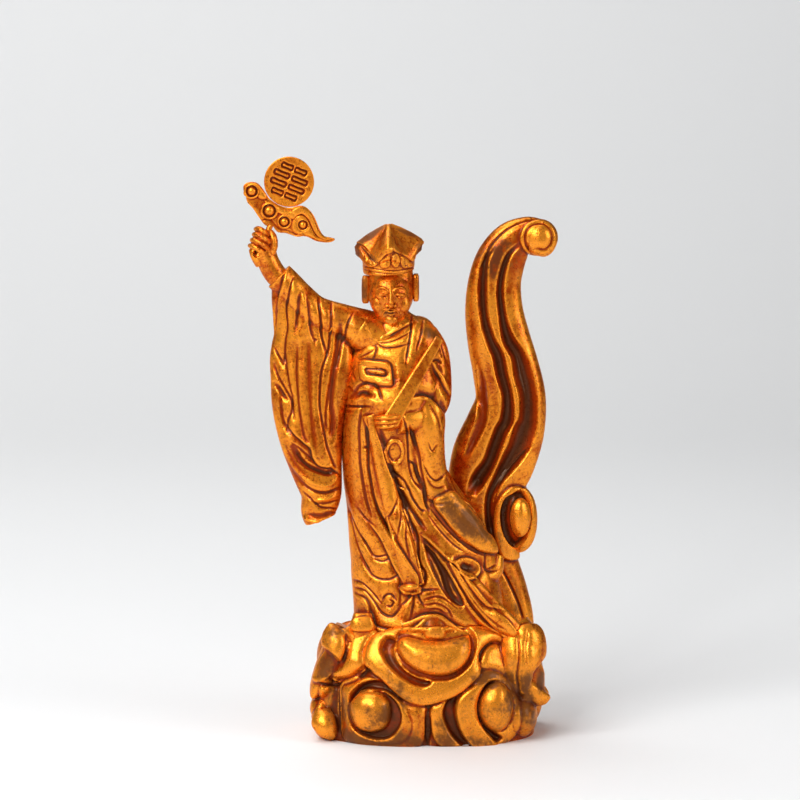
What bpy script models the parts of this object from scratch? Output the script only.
# Gilt wood statue of a robed official who stands on a cloud base, with a tall cloud scroll behind.
# Metres, +Z up. The figure faces -Y and the origin is the centre of the underside of the base.

import math

import bmesh
import bpy
import numpy as np
from mathutils import Matrix, Vector

# Driving sizes of the carving
BASE_WIDTH = 0.182
BASE_DEPTH = 0.124
BASE_HEIGHT = 0.086
FIGURE_HEIGHT = 0.314
SCROLL_HEIGHT = 0.314
SCROLL_THICKNESS = 0.030
TABLET_WIDTH = 0.0138
TABLET_TOP_WIDTH = 0.0070
TABLET_THICKNESS = 0.0050

# Driving sizes of the wand, and of the hole in the fist that holds it
COIN_DIAMETER = 0.0385
COIN_THICKNESS = 0.0040
CLOUD_LENGTH = 0.0700
STEM_DIAMETER = 0.0046
STEM_CLEARANCE = 0.0003
STEM_ABOVE_FIST = 0.0055
STEM_BELOW_FIST = 0.0010
BORE_BELOW_FIST = 0.0050
BORE_ABOVE_FIST = 0.0070

# Fineness of the solids
CARVING_VOXEL = 0.0014
CARVING_TRIANGLES = 8000
CARVING_STEP = 0.0020
WAND_VOXEL = 0.0007
WAND_TRIANGLES = 1100
STEM_SIDES = 16
COIN_SIDES = 32

# The least half width of a swept form, in parts
THINNEST = 0.3

# Every form is drawn on a grid of parts, seen from the front: x to the right, z up from the ground.
# The drawn base is 182 parts wide, 124 deep and 86 high, and the figure and scroll are 314 high.
DRAWN_WIDTH = 182
DRAWN_DEPTH = 124
DRAWN_BASE = 86
DRAWN_FIGURE = 314
DRAWN_SCROLL = 314
DRAWN_SCROLL_HALF_THICKNESS = 15
DRAWN_CLOUD = 70
# The drawing is seen from a little above, so that a part nearer the viewer is drawn lower.
DRAWN_SLOPE = 0.158
# Lobes and hollows are drawn in pixels of the photograph: parts to a pixel across and up, and the pixel
# that shows the origin
PIXEL = 0.77
PIXEL_UP = 0.778
ORIGIN_PIXEL = (427.5, 735)

FIST_CENTRE = (-126, -8, 383)
FIST_REACH = 12.5
STEM_INTO_CLOUD = 12
STEM_LEAN = (0.36, 0.12, 0.92)

GOLD = (0.60, 0.30, 0.06, 1.0)
PALE_GOLD = (0.72, 0.42, 0.10, 1.0)


def base_place(x, y, z):
    return (x * BASE_WIDTH / DRAWN_WIDTH, y * BASE_DEPTH / DRAWN_DEPTH, z * BASE_HEIGHT / DRAWN_BASE)


def figure_place(x, y, z):
    part = FIGURE_HEIGHT / DRAWN_FIGURE
    return (x * part, y * part, BASE_HEIGHT + (z - DRAWN_BASE) * part)


def scroll_place(x, y, z):
    part = SCROLL_HEIGHT / DRAWN_SCROLL
    thick = SCROLL_THICKNESS / 2 / DRAWN_SCROLL_HALF_THICKNESS
    return (x * part, y * thick, BASE_HEIGHT + (z - DRAWN_BASE) * part)


def smooth_rows(rows, steps):
    """Rows of numbers on a smooth curve through the given rows."""
    rows = np.array(rows, float)
    padded = np.vstack([2 * rows[0] - rows[1], rows, 2 * rows[-1] - rows[-2]])
    result = []
    for i in range(1, len(padded) - 2):
        a, b, c, d = padded[i - 1:i + 3]
        for step in range(steps):
            t = step / steps
            result.append(0.5 * (2 * b + (c - a) * t + (2 * a - 5 * b + 4 * c - d) * t ** 2
                                 + (3 * b - a - 3 * c + d) * t ** 3))
    result.append(rows[-1])
    return np.array(result)


def add_loft(bm, rings):
    """A closed skin over rings of points, with a flat cap at each end."""
    grid = [[bm.verts.new(point) for point in ring] for ring in rings]
    count = len(grid[0])
    for lower, upper in zip(grid, grid[1:]):
        for i in range(count):
            j = (i + 1) % count
            bm.faces.new((lower[i], lower[j], upper[j], upper[i]))
    bm.faces.new(grid[0][::-1])
    bm.faces.new(grid[-1])


def add_sweep(bm, place, rows, steps=5, sides=22, square=2.0):
    """A limb, fold or slab along rows of (x, y, z, half width, half depth)."""
    path = smooth_rows(rows, steps)
    rings = []
    for i, row in enumerate(path):
        ahead = path[min(i + 1, len(path) - 1)][:3]
        behind = path[max(i - 1, 0)][:3]
        along = (ahead - behind) / np.linalg.norm(ahead - behind)
        side = np.cross(along, (0, 1, 0))
        side /= np.linalg.norm(side)
        deep = np.cross(side, along)
        ring = []
        for k in range(sides):
            angle = 2 * math.pi * k / sides
            c = math.copysign(abs(math.cos(angle)) ** (2 / square), math.cos(angle))
            s = math.copysign(abs(math.sin(angle)) ** (2 / square), math.sin(angle))
            width, thick = max(row[3], THINNEST), max(row[4], THINNEST)
            ring.append(place(*(row[:3] + side * width * c + deep * thick * s)))
        rings.append(ring)
    add_loft(bm, rings)


def add_ball(bm, place, centre, radii, tilt=0.0):
    """An egg-shaped boss, turned by tilt degrees in the plane that faces the viewer."""
    made = bmesh.ops.create_uvsphere(bm, u_segments=20, v_segments=14, radius=1.0)
    turn = Matrix.Rotation(math.radians(tilt), 3, "Y")
    for vert in made["verts"]:
        spot = turn @ Vector([c * r for c, r in zip(vert.co, radii)])
        vert.co = place(*(spot + Vector(centre)))


def spiral_rows(centre, radius, turns, start, y_out, y_in, thick):
    """Rows of a cloud curl that winds inwards round its boss, rising towards the viewer."""
    rows = []
    steps = max(6, int(turns * 10))
    for i in range(steps + 1):
        t = i / steps
        angle = math.radians(start) + 2 * math.pi * turns * t
        reach = radius * (1 - 0.62 * t)
        width = thick * (1 - 0.45 * t)
        rows.append((centre[0] + reach * math.cos(angle), y_out + (y_in - y_out) * t,
                     centre[1] + reach * math.sin(angle), width, width))
    return rows


# The cloud base: (x, y, z), half widths along x, y and z, tilt
BASE_CORE = [
    (-1, 2, -8, 82, 54), (-1, 2, 4, 84, 56), (0, 2, 30, 83, 56), (0, 2, 54, 78, 53), (0, 3, 72, 70, 47),
    (0, 4, 83, 62, 42), (0, 4, 87, 56, 38),
]
BASE_BOSSES = [
    ((-68, -26, 76), (7, 10, 6.5), 0), ((-74, -20, 50), (12, 20, 13), -30), ((-79, -24, 12), (9, 14, 9), 0),
    ((-83, -14, 34), (8, 16, 9), 0), ((72, -18, 64), (16, 26, 24), -6), ((83, -6, 46), (7, 20, 18), 0),
    ((73, -22, 18), (12, 20, 17), 0), ((-80, 14, 20), (10, 20, 18), 0), ((-76, 16, 56), (10, 24, 20), 0),
    ((80, 26, 22), (10, 20, 20), 0), ((80, 22, 58), (9, 22, 18), 0), ((-44, 46, 22), (20, 14, 19), 0),
    ((4, 49, 24), (20, 13, 20), 0), ((50, 46, 22), (20, 14, 19), 0), ((-46, 42, 62), (24, 14, 17), 0),
    ((42, 44, 64), (26, 13, 16), 0),
]
# Lobes of cloud, in the order they are laid: level, dome and the width of the dome's edge in parts,
# and the outline in pixels. A minus dome is a hollow.
BASE_LOBES = [
    (0, 5, 12, [(341, 686), (350, 679), (364, 675), (378, 679), (391, 687), (405, 699), (424, 705),
                (428, 714), (428, 730), (424, 742), (412, 751), (380, 750), (356, 745), (343, 737),
                (341, 710)]),
    (0, -3.5, 3, [(353, 704), (353, 694), (362, 684), (374, 680), (386, 682), (398, 692), (404, 700),
                  (396, 699), (384, 692), (372, 689), (362, 692)]),
    (3, 3, 5, [(366, 692), (382, 690), (394, 695), (404, 704), (412, 718), (412, 730), (404, 741),
               (380, 742), (360, 736), (352, 722), (354, 704)]),
    (-0.5, 0, 2, [(376, 690), (388, 693), (398, 703), (402, 716), (398, 729), (388, 737), (372, 737),
                  (356, 728), (352, 712), (358, 697)]),
    (0, 12, 15, [(371, 690), (382, 693), (390, 703), (391, 716), (385, 728), (372, 732), (359, 728),
                 (352, 716), (352, 703), (360, 693)]),
    (1, 4, 6, [(321, 686), (335, 684), (334, 700), (332, 712), (337, 724), (338, 735), (331, 740),
               (321, 735), (314, 727), (313, 716), (318, 706), (319, 694)]),
    (1, 3, 6, [(431, 706), (438, 703), (447, 700), (443, 712), (446, 724), (452, 735), (463, 746),
               (446, 748), (436, 742), (430, 732), (428, 718)]),
    (-1, -2.5, 3, [(447, 700), (456, 697), (455, 711), (459, 724), (467, 736), (474, 745), (463, 746),
                   (452, 735), (446, 724), (443, 712)]),
    (0, 5, 12, [(470, 685), (477, 673), (488, 668), (500, 671), (510, 681), (518, 698), (521, 715),
                (518, 732), (505, 744), (488, 746), (474, 730), (466, 708)]),
    (3, 3, 4, [(457, 699), (465, 690), (478, 683), (487, 682), (480, 690), (475, 701), (475, 713),
               (480, 724), (489, 733), (496, 746), (476, 748), (465, 739), (458, 726), (455, 711)]),
    (-1, -2.5, 3, [(487, 682), (496, 682), (488, 692), (483, 704), (484, 718), (490, 729), (500, 737),
                   (494, 741), (484, 730), (478, 719), (476, 705), (480, 691)]),
    (0, 12, 13, [(496, 681), (505, 687), (510, 699), (510, 714), (504, 727), (495, 732), (485, 726),
                 (479, 714), (479, 700), (486, 687)]),
    (1, 3, 6, [(479, 668), (480, 659), (484, 650), (490, 645), (498, 645), (503, 652), (505, 664),
               (508, 676), (514, 687), (504, 678), (494, 671)]),
    (4, 3.5, 7, [(381, 634), (371, 641), (366, 653), (366, 664), (373, 672), (382, 679), (391, 688),
                 (400, 696), (410, 702), (424, 705), (438, 702), (452, 697), (463, 690), (473, 681),
                 (479, 673), (477, 659), (481, 649), (490, 643), (500, 644), (498, 634), (470, 630),
                 (420, 629)]),
    (3, -3.5, 7, [(388, 639), (397, 641), (395, 651), (399, 662), (407, 671), (418, 677), (431, 681),
                  (424, 686), (410, 682), (398, 674), (387, 662), (382, 649)]),
    (2.5, 0, 2, [(397, 640), (404, 634), (440, 635), (464, 632), (473, 640), (473, 655), (466, 668),
                 (452, 678), (436, 680), (420, 677), (405, 669), (396, 656)]),
    (3, 9, 11, [(400, 641), (407, 638), (424, 641), (440, 642), (455, 639), (466, 638), (470, 648),
                (467, 660), (458, 670), (444, 675), (428, 674), (413, 668), (403, 659), (398, 649)]),
    (3, 6, 9, [(338, 632), (352, 628), (368, 630), (379, 634), (371, 642), (366, 653), (366, 665),
               (359, 672), (349, 678), (334, 679), (341, 668), (344, 655), (341, 643)]),
    (3, 6, 7, [(336, 625), (343, 632), (346, 643), (344, 654), (337, 661), (329, 658), (326, 646),
               (328, 633)]),
    (2.5, -2, 4, [(313, 680), (317, 668), (322, 657), (328, 650), (334, 655), (337, 664), (332, 673),
                  (324, 680)]),
    (5, 7, 11, [(503, 642), (507, 633), (516, 628), (527, 626), (538, 631), (542, 643), (541, 655),
                (537, 663), (530, 671), (533, 681), (540, 690), (546, 696), (541, 702), (528, 702),
                (517, 695), (509, 684), (505, 670), (503, 656)]),
    (4, -2.5, 4, [(531, 671), (537, 663), (542, 671), (547, 684), (547, 697), (540, 690), (533, 681)]),
]
# Curls round the back of the base: centre (x, z) and radius in parts
BASE_BACK_CURLS = [((-46, 24), 22), ((4, 25), 23), ((53, 24), 21), ((-38, 64), 20), ((40, 65), 21)]

# The robe from hem to neck
ROBE = [
    (0, -4, 80, 57, 37), (1, -4, 92, 58, 36), (2, -4, 106, 56, 33), (-1, -3, 124, 54, 31),
    (-6, -3, 145, 52, 29), (-13, -3, 165, 48, 28), (-21, -4, 186, 43, 27), (-27, -5, 207, 38.5, 26),
    (-28, -6, 231, 38, 27), (-26, -7, 258, 37, 27), (-24, -6, 280, 36, 24), (-22, -4, 300, 34, 21),
    (-22, -3, 313, 29, 18), (-24, -4, 322, 18, 14), (-25, -5, 330, 10, 10), (-26, -6, 338, 10, 10),
]
RAISED_ARM = [
    (-30, -3, 304, 20, 17), (-46, -4, 314, 17, 15), (-60, -5, 320, 14.5, 14), (-74, -7, 325, 13.5, 13),
    (-87, -8, 331, 12.5, 12), (-98, -8, 341, 12, 11.5), (-107, -8, 351, 11.5, 11),
    (-114, -8, 358, 11.5, 10.5),
]
FOREARM = [
    (-108, -8, 350, 8, 8), (-117, -8, 360, 8.6, 8.4), (-122, -8, 369, 8.4, 8.2), (-125, -8, 378, 8.6, 8.6),
]
HANGING_SLEEVE = [
    (-114, -7, 353, 6, 7), (-109, -7, 343, 12, 8.5), (-102, -7, 331, 19, 9.5), (-95, -7, 318, 26, 10.5),
    (-90.5, -7, 302, 31, 11), (-89, -8, 284, 32, 12),
    (-91, -9, 260, 29, 13), (-90, -10, 236, 25, 14), (-86, -10, 212, 20.5, 14), (-82, -10, 190, 16, 13),
    (-83.5, -10, 172, 13.5, 12), (-84, -10, 165, 13, 12),
]
LEFT_ARM = [
    (-4, -2, 312, 12, 13), (3, -2, 298, 13, 14), (6, -4, 278, 12.5, 15), (5, -9, 262, 12.5, 15),
    (-4, -18, 253, 13, 14), (-14, -26, 250, 12, 12), (-24, -33, 249, 9, 9),
]
LEFT_HAND = [(-22, -34, 250, 8, 8), (-31, -37, 249, 8, 8), (-38, -38, 249, 6, 6)]
LOWER_SLEEVE = [
    (-4, -16, 262, 12, 12), (-2, -19, 250, 15.5, 15), (-1, -20, 232, 14, 14), (2, -19, 208, 13, 13),
    (9, -17, 184, 15, 12), (22, -13, 162, 19, 13), (33, -9, 144, 19, 13), (39, -8, 130, 16, 13),
]
SLEEVE_ROLL = [(24, -16, 126, 5, 7), (36, -14, 124, 8, 9), (50, -8, 128, 8, 9), (55, -4, 140, 4, 6)]
SCARF = [
    (14, -26, 140, 9, 6), (26, -28, 122, 12, 6), (42, -30, 104, 13, 6), (56, -32, 94, 10, 6),
    (68, -32, 86, 7, 6),
]
SASH = [(-44, -30, 254, 6, 5), (-36, -32, 220, 6, 5), (-26, -34, 180, 7, 5), (-16, -37, 146, 8, 5),
        (-10, -39, 122, 8, 5)]
FIGURE_BALLS = [
    ((-27, -9, 343), (16, 17.5, 20), 0), ((-126, -8, 383), (9.6, 9, 12), 12),
    ((-53, -30, 93), (7, 14, 8), 0), ((5, -36, 89), (8, 16, 7), 0), ((-26, -22, 262), (26, 16, 22), 0),
    ((-25, -24, 214), (7, 10, 9.5), 0), ((-27, -25.5, 342), (2.6, 4, 5), 0),
    ((-27, -24.5, 333), (4.2, 3, 1.6), 0), ((-27, -23, 324), (3, 4, 5), 0),
    ((-33, -23.5, 350), (4.5, 2.4, 1.4), 4), ((-21, -23.5, 350), (4.5, 2.4, 1.4), -4),
]
# The four-cornered hat: (z, half reach to the corners, roundness of the section)
HAT_CENTRE = (-30, -7)
HAT_LEVELS = [(357, 19, 2.0), (359, 20, 2.0), (370, 20.5, 2.0), (371, 24, 1.35), (384, 27.5, 1.15),
              (386, 27, 1.15), (396, 11, 1.15), (400, 2, 1.3)]
HAT_TILT = 4.0
HAT_SIDES = 24
# The long slab ears: (x, y, z), half sizes
EARS = [((-46, -6, 347), (2.6, 4, 10)), ((-8, -6, 348), (2.6, 4, 10))]
TABLET_LOWER = (-29, -38, 249)
TABLET_UPPER = (9, -27, 313)

# The tall scroll, drawn as rows of (x, y, z, half width, half thickness)
SCROLL_Y = 30
SCROLL = [
    (50, 2, 50, 32, 17), (50, 2, 80, 33, 17), (47, 2, 104, 31, 16), (43, 1, 132, 27, 15),
    (42, 0, 162, 27, 15), (44, 0, 186, 29, 15), (51, 0, 209, 32.5, 15), (60, 0, 233, 31, 14.5),
    (64.5, 0, 256, 27.5, 14), (61, 0, 279, 26, 13.5), (55.5, 0, 302, 24.5, 13), (51.5, 0, 326, 22.5, 12.5),
    (52, 0, 348, 20.5, 12), (57, 0, 366, 19, 11.5), (66, 0, 380, 16, 11), (77, 0, 387, 12, 10.5),
    (86, 0, 386, 11, 10),
]
SCROLL_BALLS = [
    ((87, 0, 384), (13, 12, 13), 0), ((68, -4, 160), (15, 14, 27), -4), ((71, -14, 170), (7, 12, 11), 0),
]
# Hollows between the scroll's ridges, in pixels of the photograph: (x, y, half width)
SCROLL_HOLLOWS = [
    (5.5, [(491, 250, 3), (485, 260, 4), (482, 287, 5.8), (484, 317.5, 5.6), (490.4, 340, 6), (498, 356, 7),
           (502, 375, 7), (507.6, 397, 6.6), (507, 420, 8), (501, 432, 8), (495, 448, 8), (489, 464, 8),
           (478.6, 480, 9), (471, 496, 6)]),
    (6.0, [(520, 243, 2.5), (507, 258, 3.4), (500.3, 287, 4.4), (503, 317.5, 5), (509, 340, 7.5),
           (519, 356, 9), (524, 375, 11), (529, 397, 10.5), (529, 420, 11), (525, 432, 13), (519, 448, 12),
           (509, 464, 10), (498.6, 480, 6.5), (490.6, 496, 5), (489, 512, 4.8), (490.6, 528, 4.8),
           (493.8, 542, 3)]),
    (2.6, [(474, 350, 2), (481, 375, 4), (483, 397, 6), (482, 420, 6), (474, 440, 5), (466, 460, 3)]),
]
SCROLL_CURLS = [((87, 384), 12, 1.2, 150, -4, -10, 3.6), ((69, 163), 16, 1.1, -100, -6, -14, 4.5)]

# Round curls of the back: level in parts, dome and width of its edge as shares of the radius, and size
CURL_POINTS = 16
CURL_STEPS = [(2.5, 0.15, 0.25, 1.0), (-1, 0, 0.1, 0.78), (-0.5, 0.42, 0.5, 0.55)]
# The hat's two front flaps as lobes: level, dome, width of the dome's edge and outline in pixels
HAT_FLAPS = [
    (2.2, 0.4, 2, [(358, 242), (372, 234), (388, 227), (391, 238), (393, 251), (386, 257), (378, 262.5),
                   (366, 249)]),
    (2.2, 0.4, 2, [(390, 227), (405, 232), (421, 240.5), (416, 249), (413, 261.5), (404, 257), (394, 251),
                   (391.5, 238)]),
]
# The drawn heights between which the base, the hat, the robe and the scroll are carved
BASE_REACH = (-20, 98)
HAT_REACH = (362, 402)
ROBE_REACH = (86, 345)
SCROLL_REACH = (92, 395)
# A form is cut from where the surface turns this far to the viewer, and in full a little further on
TURNED_FROM = 0.05
TURNED_OVER = 0.4

# Carved lines as the viewer sees them: half width, depth and points (x, z). A minus depth stands proud.
FRONT_LINES = [
    (6, 5.0, [(-58, 322), (-62, 292), (-64, 261), (-66, 229), (-68, 198), (-67, 172)]),
    (4, 2.8, [(-113, 344), (-108, 307), (-110, 268), (-112, 240)]),
    (4, 2.8, [(-100, 340), (-94, 305), (-96, 262), (-98, 222)]),
    (4, 2.8, [(-82, 332), (-80, 300), (-85, 255), (-87, 215)]),
    (3.5, 2.4, [(-70, 320), (-69, 290), (-74, 250), (-76, 218)]),
    (3.5, 2.6, [(-112, 226), (-97, 212), (-82, 209), (-70, 214)]),
    (3.5, 2.6, [(-106, 209), (-92, 197), (-80, 196), (-68, 203)]),
    (3.5, 2.4, [(-98, 188), (-84, 183), (-69, 188)]),
    (3.5, 2.2, [(-48, 306), (-70, 312), (-88, 320), (-104, 336)]),
    (3.5, 2.4, [(-58, 245), (-56, 198), (-50, 152), (-48, 108)]),
    (4, 2.8, [(-50, 242), (-44, 200), (-36, 160), (-20, 112)]),
    (4, 2.8, [(-36, 205), (-24, 168), (-12, 128)]),
    (4, 2.6, [(-22, 236), (-14, 200), (-2, 160), (10, 116)]),
    (4, 2.6, [(-12, 214), (0, 184), (14, 152), (26, 122)]),
    (3, 2.0, [(-54, 108), (-38, 99), (-24, 104), (-12, 98), (2, 102)]),
    (3, 2.4, [(-56, 93), (-34, 91), (-12, 90), (6, 96), (22, 90)]),
    (3.5, 2.2, [(18, 128), (34, 108), (52, 96), (66, 88)]),
    (3.5, 2.2, [(8, 116), (30, 98), (50, 88)]),
    (3.5, 2.2, [(-52, 318), (-33, 305), (-14, 320)]),
    (3, 1.8, [(-52, 292), (-29, 292), (-29, 273), (-52, 273), (-52, 292)]),
    (3, 1.8, [(-58, 308), (-66, 292), (-64, 276), (-58, 270)]),
    (3.5, 2.2, [(-60, 272), (-44, 264), (-32, 272)]),
    (3.5, 2.2, [(-66, 255), (-50, 257), (-40, 262)]),
    (3.5, 2.2, [(0, 300), (6, 286), (18, 266)]),
    (3.5, 2.4, [(-17, 263), (-6, 266), (8, 258), (13, 245)]),
    (4, 2.6, [(-10, 244), (-8, 222), (2, 196), (20, 168), (40, 148)]),
    (3.5, 2.2, [(6, 240), (5, 214), (14, 190), (30, 172)]),
    (3.5, 2.4, [(54, 84), (64, 60), (76, 34)]),
    (3.5, 2.4, [(77, 84), (80, 60), (82, 34)]),
]
BACK_LINES = [
    (5, 3.0, [(-30, 300), (-34, 240), (-30, 170), (-34, 100)]),
    (5, 3.0, [(-8, 300), (-12, 240), (-2, 170), (4, 100)]),
    (5, 2.6, [(-48, 280), (-52, 220), (-50, 150), (-52, 100)]),
    (5, 2.6, [(-20, 250), (-18, 190), (-14, 120)]),
    (4.5, 2.6, [(-106, 330), (-104, 270), (-96, 210)]),
    (4.5, 2.6, [(-86, 322), (-88, 260), (-84, 200)]),
    (5, 2.8, [(-70, 310), (-72, 260), (-70, 200)]),
]


def add_hat(bm):
    """A stiff cap whose plan goes from round at the band to four corners at the brim."""
    rings = []
    for z, reach, square in HAT_LEVELS:
        ring = []
        for k in range(HAT_SIDES):
            angle = 2 * math.pi * k / HAT_SIDES
            scale = (abs(math.cos(angle)) ** square + abs(math.sin(angle)) ** square) ** (-1 / square)
            x = HAT_CENTRE[0] + reach * scale * math.cos(angle)
            y = HAT_CENTRE[1] + reach * scale * math.sin(angle)
            lift = math.tan(math.radians(HAT_TILT)) * (x - HAT_CENTRE[0])
            ring.append(figure_place(x, y, z + lift))
        rings.append(ring)
    add_loft(bm, rings)


def add_box(bm, centre, half_sizes, turn=None):
    """A rectangular block, turned about its centre before it is placed."""
    made = bmesh.ops.create_cube(bm, size=2.0)
    for vert in made["verts"]:
        spot = Vector([c * h for c, h in zip(vert.co, half_sizes)])
        vert.co = (turn @ spot if turn else spot) + Vector(centre)


def add_tablet(bm):
    """The court tablet, a straight slab that narrows from the hand to the shoulder."""
    lower = Vector(figure_place(*TABLET_LOWER))
    upper = Vector(figure_place(*TABLET_UPPER))
    along = (upper - lower).normalized()
    side = along.cross(Vector((0, 1, 0))).normalized()
    turn = Matrix((side, along.cross(side), along)).transposed()
    half_length = (upper - lower).length / 2
    made = bmesh.ops.create_cube(bm, size=2.0)
    for vert in made["verts"]:
        width = TABLET_TOP_WIDTH if vert.co.z > 0 else TABLET_WIDTH
        spot = Vector((vert.co.x * width / 2, vert.co.y * TABLET_THICKNESS / 2, vert.co.z * half_length))
        vert.co = turn @ spot + (lower + upper) / 2


def object_from(bm, name, material, collection):
    mesh = bpy.data.meshes.new(name)
    bm.to_mesh(mesh)
    bm.free()
    obj = bpy.data.objects.new(name, mesh)
    mesh.materials.append(material)
    collection.objects.link(obj)
    return obj


def bake_modifiers(obj):
    """Replaces the object's mesh by its evaluated one, and drops the modifiers."""
    bpy.context.view_layer.update()
    depsgraph = bpy.context.evaluated_depsgraph_get()
    mesh = bpy.data.meshes.new_from_object(obj.evaluated_get(depsgraph))
    obj.modifiers.clear()
    obj.data = mesh


def fuse(obj, voxel):
    """Makes one closed skin round all the forms that overlap."""
    remesh = obj.modifiers.new("Fuse", "REMESH")
    remesh.mode = "VOXEL"
    remesh.voxel_size = voxel
    relax = obj.modifiers.new("Relax", "SMOOTH")
    relax.factor = 0.5
    relax.iterations = 2
    bake_modifiers(obj)


def thin_out(obj, triangles):
    """Leaves about this many triangles, the smaller ones where the surface turns most."""
    obj.data.calc_loop_triangles()
    thin = obj.modifiers.new("Thin", "DECIMATE")
    thin.ratio = min(1.0, triangles / len(obj.data.loop_triangles))
    thin.use_collapse_triangulate = True
    bake_modifiers(obj)


def nearest_on(points, path):
    """For each point (x, z): its distance to a path and how far along the path that is."""
    nearest = np.full(len(points), np.inf)
    index = np.zeros(len(points))
    for i, (a, b) in enumerate(zip(path, path[1:])):
        run = b - a
        t = np.clip((points - a) @ run / max(run @ run, 1e-9), 0, 1)
        far = np.linalg.norm(points - a - t[:, None] * run, axis=1)
        index = np.where(far < nearest, i + t, index)
        nearest = np.minimum(nearest, far)
    return nearest, index


def pixel_place(px, py):
    """A pixel of the photograph as drawn parts, across and up."""
    return ((px - ORIGIN_PIXEL[0]) * PIXEL, (ORIGIN_PIXEL[1] - py) * PIXEL_UP)


def line_cut(drawn, line):
    """A rounded groove, or a ridge where the depth is minus: the cut at each drawn point."""
    half_width, depth, points = line
    far, index = nearest_on(drawn, smooth_rows(points, 4))
    t = np.clip(far / half_width, 0, 1)
    return depth * (1 - t * t) ** 2, None


def hollow_cut(drawn, hollow):
    """A hollow with sharp edges whose width changes along it."""
    depth, points = hollow
    path = smooth_rows([(*pixel_place(x, y), width * PIXEL) for x, y, width in points], 4)
    far, index = nearest_on(drawn, path[:, :2])
    width = np.interp(index, np.arange(len(path)), path[:, 2])
    t = np.clip(far / width, 0, 1)
    return depth * (1 - t * t), None


def lobe_cut(drawn, lobe):
    """A lobe that lies over what is under it: its cut, which is minus where it stands out, and its cover."""
    level, dome, edge, outline = lobe
    path = smooth_rows([outline[-1], *outline, outline[0], outline[1]], 4)[4:-4]
    deep, index = nearest_on(drawn, path)
    x, z = drawn.T
    inside = np.zeros(len(drawn), bool)
    for (ax, az), (bx, bz) in zip(path, path[1:]):
        if az != bz:
            inside ^= ((az > z) != (bz > z)) & (x < (bx - ax) * (z - az) / (bz - az) + ax)
    deep[~inside] *= -1
    t = np.clip(deep / edge, 0, 1)
    blend = np.clip(deep / (CARVING_STEP * DRAWN_FIGURE / FIGURE_HEIGHT) + 0.5, 0, 1)
    return -level - dome * np.sqrt(1 - (1 - t) ** 2), blend


def circle(centre, radius):
    """The outline of a round lobe."""
    angles = [2 * math.pi * k / CURL_POINTS for k in range(CURL_POINTS)]
    return [(centre[0] + radius * math.cos(a), centre[1] + radius * math.sin(a)) for a in angles]


def curl_lobes(centre, radius):
    """A cloud curl: a raised disc, the hollow ring inside its rim and the ball in the middle."""
    return [(level, dome * radius, edge * radius, circle(centre, share * radius))
            for level, dome, edge, share in CURL_STEPS]


def pixel_lobes(lobes):
    """Lobes whose outlines are drawn in pixels of the photograph."""
    return [(level, dome, edge, [pixel_place(*spot) for spot in outline])
            for level, dome, edge, outline in lobes]


def carve(obj, cut, forms, facing, scale, reach):
    """Cuts forms into the side that faces the viewer (-1) or away (+1), between two drawn heights."""
    mesh = obj.data
    count = len(mesh.vertices)
    spots = np.empty(count * 3)
    mesh.vertices.foreach_get("co", spots)
    spots = spots.reshape(-1, 3)
    normals = np.empty(count * 3)
    mesh.vertex_normals.foreach_get("vector", normals)
    normals = normals.reshape(-1, 3)
    wide, deep, high, ground = scale
    slope = DRAWN_SLOPE if facing < 0 else 0.0
    height = (spots[:, 2] - ground) / high + (DRAWN_BASE if ground else 0) + slope * spots[:, 1] / deep
    drawn = np.column_stack([spots[:, 0] / wide, height])
    turned = np.clip((normals[:, 1] * facing - TURNED_FROM) / TURNED_OVER, 0, 1)
    chosen = np.nonzero((turned > 0) & (drawn[:, 1] > reach[0]) & (drawn[:, 1] < reach[1]))[0]
    sink = np.zeros(len(chosen))
    for form in forms:
        depth, cover = cut(drawn[chosen], form)
        if cover is None:
            sink = np.where(np.abs(depth) > np.abs(sink), depth, sink)
        else:
            sink = sink + (depth - sink) * cover
    spots[chosen] -= normals[chosen] * (sink * turned[chosen] * high)[:, None]
    mesh.vertices.foreach_set("co", spots.ravel())
    mesh.update()


def carve_base(obj):
    """The lobes and curls of the cloud base, in front and behind."""
    scale = (BASE_WIDTH / DRAWN_WIDTH, BASE_DEPTH / DRAWN_DEPTH, BASE_HEIGHT / DRAWN_BASE, 0)
    carve(obj, lobe_cut, pixel_lobes(BASE_LOBES), -1, scale, BASE_REACH)
    behind = [lobe for curl in BASE_BACK_CURLS for lobe in curl_lobes(*curl)]
    carve(obj, lobe_cut, behind, 1, scale, BASE_REACH)


def carve_figure(obj):
    """The hat's flaps and the folds of the robe, in front and behind."""
    part = FIGURE_HEIGHT / DRAWN_FIGURE
    scale = (part, part, part, BASE_HEIGHT)
    carve(obj, lobe_cut, pixel_lobes(HAT_FLAPS), -1, scale, HAT_REACH)
    carve(obj, line_cut, FRONT_LINES, -1, scale, ROBE_REACH)
    carve(obj, line_cut, BACK_LINES, 1, scale, ROBE_REACH)


def carve_scroll(obj):
    """The hollows between the scroll's ridges, on both sides."""
    part = SCROLL_HEIGHT / DRAWN_SCROLL
    scale = (part, part, part, BASE_HEIGHT)
    carve(obj, hollow_cut, SCROLL_HOLLOWS, -1, scale, SCROLL_REACH)
    carve(obj, hollow_cut, SCROLL_HOLLOWS, 1, scale, SCROLL_REACH)


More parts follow.
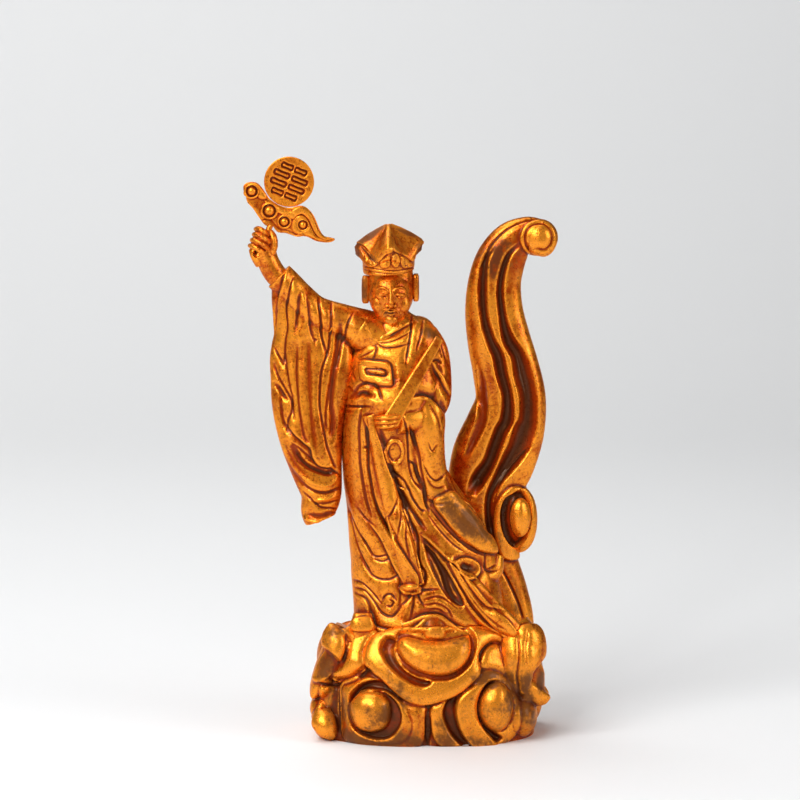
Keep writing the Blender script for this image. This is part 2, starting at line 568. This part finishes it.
def flatten_underside(obj):
    """Saws the carving off level at the ground."""
    bm = bmesh.new()
    bm.from_mesh(obj.data)
    whole = bm.verts[:] + bm.edges[:] + bm.faces[:]
    cut = bmesh.ops.bisect_plane(bm, geom=whole, dist=1e-7, plane_co=(0, 0, 0), plane_no=(0, 0, -1),
                                 clear_outer=True)
    rim = [item for item in cut["geom_cut"] if isinstance(item, bmesh.types.BMEdge)]
    bmesh.ops.contextual_create(bm, geom=rim)
    bmesh.ops.triangulate(bm, faces=bm.faces[:])
    bmesh.ops.recalc_face_normals(bm, faces=bm.faces[:])
    bm.to_mesh(obj.data)
    bm.free()


def stem_frame():
    """The middle of the fist, the direction up the wand and the turn from upright to it."""
    middle = Vector(figure_place(*FIST_CENTRE))
    up = Vector(STEM_LEAN).normalized()
    return middle, up, up.to_track_quat("Z", "Y").to_matrix()


def cylinder(name, radius, low, high, sides, collection, material):
    """A rod on the wand's axis, from low to high along it, measured from the middle of the fist."""
    middle, up, turn = stem_frame()
    bm = bmesh.new()
    bmesh.ops.create_cone(bm, cap_ends=True, segments=sides, radius1=radius, radius2=radius,
                          depth=high - low)
    for vert in bm.verts:
        vert.co = middle + turn @ vert.co + up * (low + high) / 2
    return object_from(bm, name, material, collection)


def fist_reach():
    """How far the fist reaches along the wand from its middle."""
    return FIST_REACH * FIGURE_HEIGHT / DRAWN_FIGURE


def build_carving(collection, cutters, material):
    bm = bmesh.new()
    add_sweep(bm, base_place, BASE_CORE, sides=40, square=2.3)
    for centre, radii, tilt in BASE_BOSSES:
        add_ball(bm, base_place, centre, radii, tilt)
    for rows in (ROBE, LOWER_SLEEVE):
        add_sweep(bm, figure_place, rows, sides=36, square=2.2)
    add_sweep(bm, figure_place, HANGING_SLEEVE, sides=30, square=2.4)
    for rows in (RAISED_ARM, FOREARM, LEFT_ARM, LEFT_HAND, SLEEVE_ROLL, SCARF, SASH):
        add_sweep(bm, figure_place, rows)
    for centre, radii, tilt in FIGURE_BALLS:
        add_ball(bm, figure_place, centre, radii, tilt)
    for centre, half_sizes in EARS:
        part = FIGURE_HEIGHT / DRAWN_FIGURE
        add_box(bm, figure_place(*centre), [size * part for size in half_sizes])
    add_hat(bm)
    add_tablet(bm)
    behind = [(x, y + SCROLL_Y, z, width, thick) for x, y, z, width, thick in SCROLL]
    add_sweep(bm, scroll_place, behind, sides=48, square=2.8)
    for (x, y, z), radii, tilt in SCROLL_BALLS:
        add_ball(bm, scroll_place, (x, y + SCROLL_Y, z), radii, tilt)
    for centre, radius, turns, start, y_out, y_in, thick in SCROLL_CURLS:
        rows = spiral_rows(centre, radius, turns, start, SCROLL_Y + y_out, SCROLL_Y + y_in, thick)
        add_sweep(bm, scroll_place, rows, steps=2, sides=12)
    carving = object_from(bm, "official_on_cloud_base", material, collection)
    fuse(carving, CARVING_VOXEL)
    carve_base(carving)
    carve_figure(carving)
    carve_scroll(carving)
    thin_out(carving, CARVING_TRIANGLES)
    flatten_underside(carving)
    low = -fist_reach() - BORE_BELOW_FIST
    high = fist_reach() + BORE_ABOVE_FIST
    radius = STEM_DIAMETER / 2 + STEM_CLEARANCE
    bore = cylinder("fist_bore", radius, low, high, STEM_SIDES, cutters, material)
    bore.hide_render = True
    bore.display_type = "WIRE"
    cut = carving.modifiers.new("Fist bore", "BOOLEAN")
    cut.operation = "DIFFERENCE"
    cut.solver = "EXACT"
    cut.object = bore
    return carving


# The cloud on the wand, in parts round the point where its stem meets it: the tail ends at the right
WAND_BODY = [(-20, 0, 29, 2, 3), (-16, 0, 24, 6, 4.5), (-9, 0, 14, 9, 5.5), (0, 0, 7, 11, 6),
             (12, 0, 2, 10, 6), (23, 0, -1, 9, 5.5), (33, 0, -6, 6, 4.5), (40, 0, -11, 3.5, 3),
             (47, 0, -12, 1.3, 1.6)]
WAND_TAIL = [(14, 0, 15, 3, 3.4), (24, 0, 12, 3.6, 4), (31, 0, 5, 3.6, 4), (37, 0, -4, 3, 3.4),
             (42, 0, -10, 2, 2.4)]
WAND_FINGER = [(-13, 0, 18, 3, 4), (-4, 0, 20, 3.6, 4), (6, 0, 18, 3.4, 4), (13, 0, 14, 2, 3)]
# Curls of the wand's cloud: centre and radius, and the depths of the curl and of the eye in its middle
WAND_CURLS = [((-15.7, -3, 24.7), 5.2), ((-3, -4.5, 9.2), 5.6), ((9.2, -4.5, 1.5), 5.6),
              ((23, -4, -0.5), 5.4)]
CURL_DEPTH = 3.5
EYE_DEPTH = 2.6
EYE_FORWARD = 3
COIN_SPOT = (12, 1.5, 33)
COIN_RIM_WIDTH = 0.0016
COIN_RIM_HEIGHT = 0.0005
COIN_TILT = -22.0
MARK_ROWS = 3
MARK_LENGTH_SHARE = 0.17
MARK_SPREAD = 0.72
MARK_PITCH_SHARE = 0.2
MARK_RISE_SHARE = 0.06
MARK_WIDTH = 0.0016
MARK_HEIGHT = 0.0008


def wand_place(x, y, z):
    middle, up, turn = stem_frame()
    part = CLOUD_LENGTH / DRAWN_CLOUD
    foot = middle + up * (fist_reach() + STEM_ABOVE_FIST)
    return tuple(foot + Vector((x, y, z)) * part)


def coin_frame():
    spot = Vector(wand_place(*COIN_SPOT))
    return spot, Matrix.Rotation(math.radians(COIN_TILT), 3, "Y") @ Matrix.Rotation(math.radians(90), 3, "X")


def add_disc(bm, radius, thickness, forward):
    """A flat disc that faces the viewer, moved forward from the coin's middle."""
    spot, turn = coin_frame()
    made = bmesh.ops.create_cone(bm, cap_ends=True, segments=COIN_SIDES, radius1=radius, radius2=radius,
                                 depth=thickness)
    for vert in made["verts"]:
        vert.co = spot + turn @ vert.co + Vector((0, -forward, 0))


def join_to(obj, other, operation="UNION"):
    """Joins the other object to this one, or cuts it out, and takes it away."""
    boolean = obj.modifiers.new("Join", "BOOLEAN")
    boolean.operation = operation
    boolean.solver = "EXACT"
    boolean.object = other
    bake_modifiers(obj)
    bpy.data.objects.remove(other)


def build_wand(collection, material):
    bm = bmesh.new()
    add_sweep(bm, wand_place, WAND_BODY, sides=16)
    add_sweep(bm, wand_place, WAND_TAIL, sides=12)
    add_sweep(bm, wand_place, WAND_FINGER, sides=12)
    for centre, radius in WAND_CURLS:
        add_ball(bm, wand_place, centre, (radius, CURL_DEPTH, radius))
        eye = (centre[0], centre[1] - EYE_FORWARD, centre[2])
        add_ball(bm, wand_place, eye, (radius / 2, EYE_DEPTH, radius / 2))
    wand = object_from(bm, "cloud_and_coin_wand", material, collection)
    fuse(wand, WAND_VOXEL)
    thin_out(wand, WAND_TRIANGLES)
    bm = bmesh.new()
    add_disc(bm, COIN_DIAMETER / 2, COIN_THICKNESS, 0)
    join_to(wand, object_from(bm, "coin", material, collection))
    bm = bmesh.new()
    face = COIN_THICKNESS / 2
    add_disc(bm, COIN_DIAMETER / 2 - COIN_RIM_WIDTH, COIN_RIM_HEIGHT * 2, face)
    join_to(wand, object_from(bm, "coin_field", material, collection), "DIFFERENCE")
    spot, turn = coin_frame()
    length = COIN_DIAMETER * MARK_LENGTH_SHARE
    for row in range(MARK_ROWS):
        for column in (-1, 1):
            bm = bmesh.new()
            across = column * length * MARK_SPREAD
            rise = ((row - (MARK_ROWS - 1) / 2) * MARK_PITCH_SHARE + MARK_RISE_SHARE) * COIN_DIAMETER
            place = spot + turn @ Vector((across, rise, 0)) + Vector((0, -face + COIN_RIM_HEIGHT, 0))
            add_box(bm, place, (length / 2, MARK_WIDTH / 2, MARK_HEIGHT), turn)
            join_to(wand, object_from(bm, "coin_mark", material, collection))
    low = -fist_reach() - STEM_BELOW_FIST
    high = fist_reach() + STEM_ABOVE_FIST + CLOUD_LENGTH / DRAWN_CLOUD * STEM_INTO_CLOUD
    stem = cylinder("stem", STEM_DIAMETER / 2, low, high, STEM_SIDES, collection, material)
    join_to(wand, stem)
    return wand


def make_material(name, colour, roughness, metallic):
    material = bpy.data.materials.new(name)
    material.use_nodes = True
    shader = material.node_tree.nodes["Principled BSDF"]
    shader.inputs["Base Color"].default_value = colour
    shader.inputs["Roughness"].default_value = roughness
    shader.inputs["Metallic"].default_value = metallic
    return material


def main():
    for obj in list(bpy.data.objects):
        bpy.data.objects.remove(obj)
    statue = bpy.data.collections.new("gilt_wood_official_statue")
    cutters = bpy.data.collections.new("cutters")
    bpy.context.scene.collection.children.link(statue)
    bpy.context.scene.collection.children.link(cutters)
    gilt = make_material("gilt_lacquered_wood", GOLD, 0.38, 0.7)
    bright = make_material("bright_gilt", PALE_GOLD, 0.36, 0.75)
    build_carving(statue, cutters, gilt)
    build_wand(statue, bright)


main()
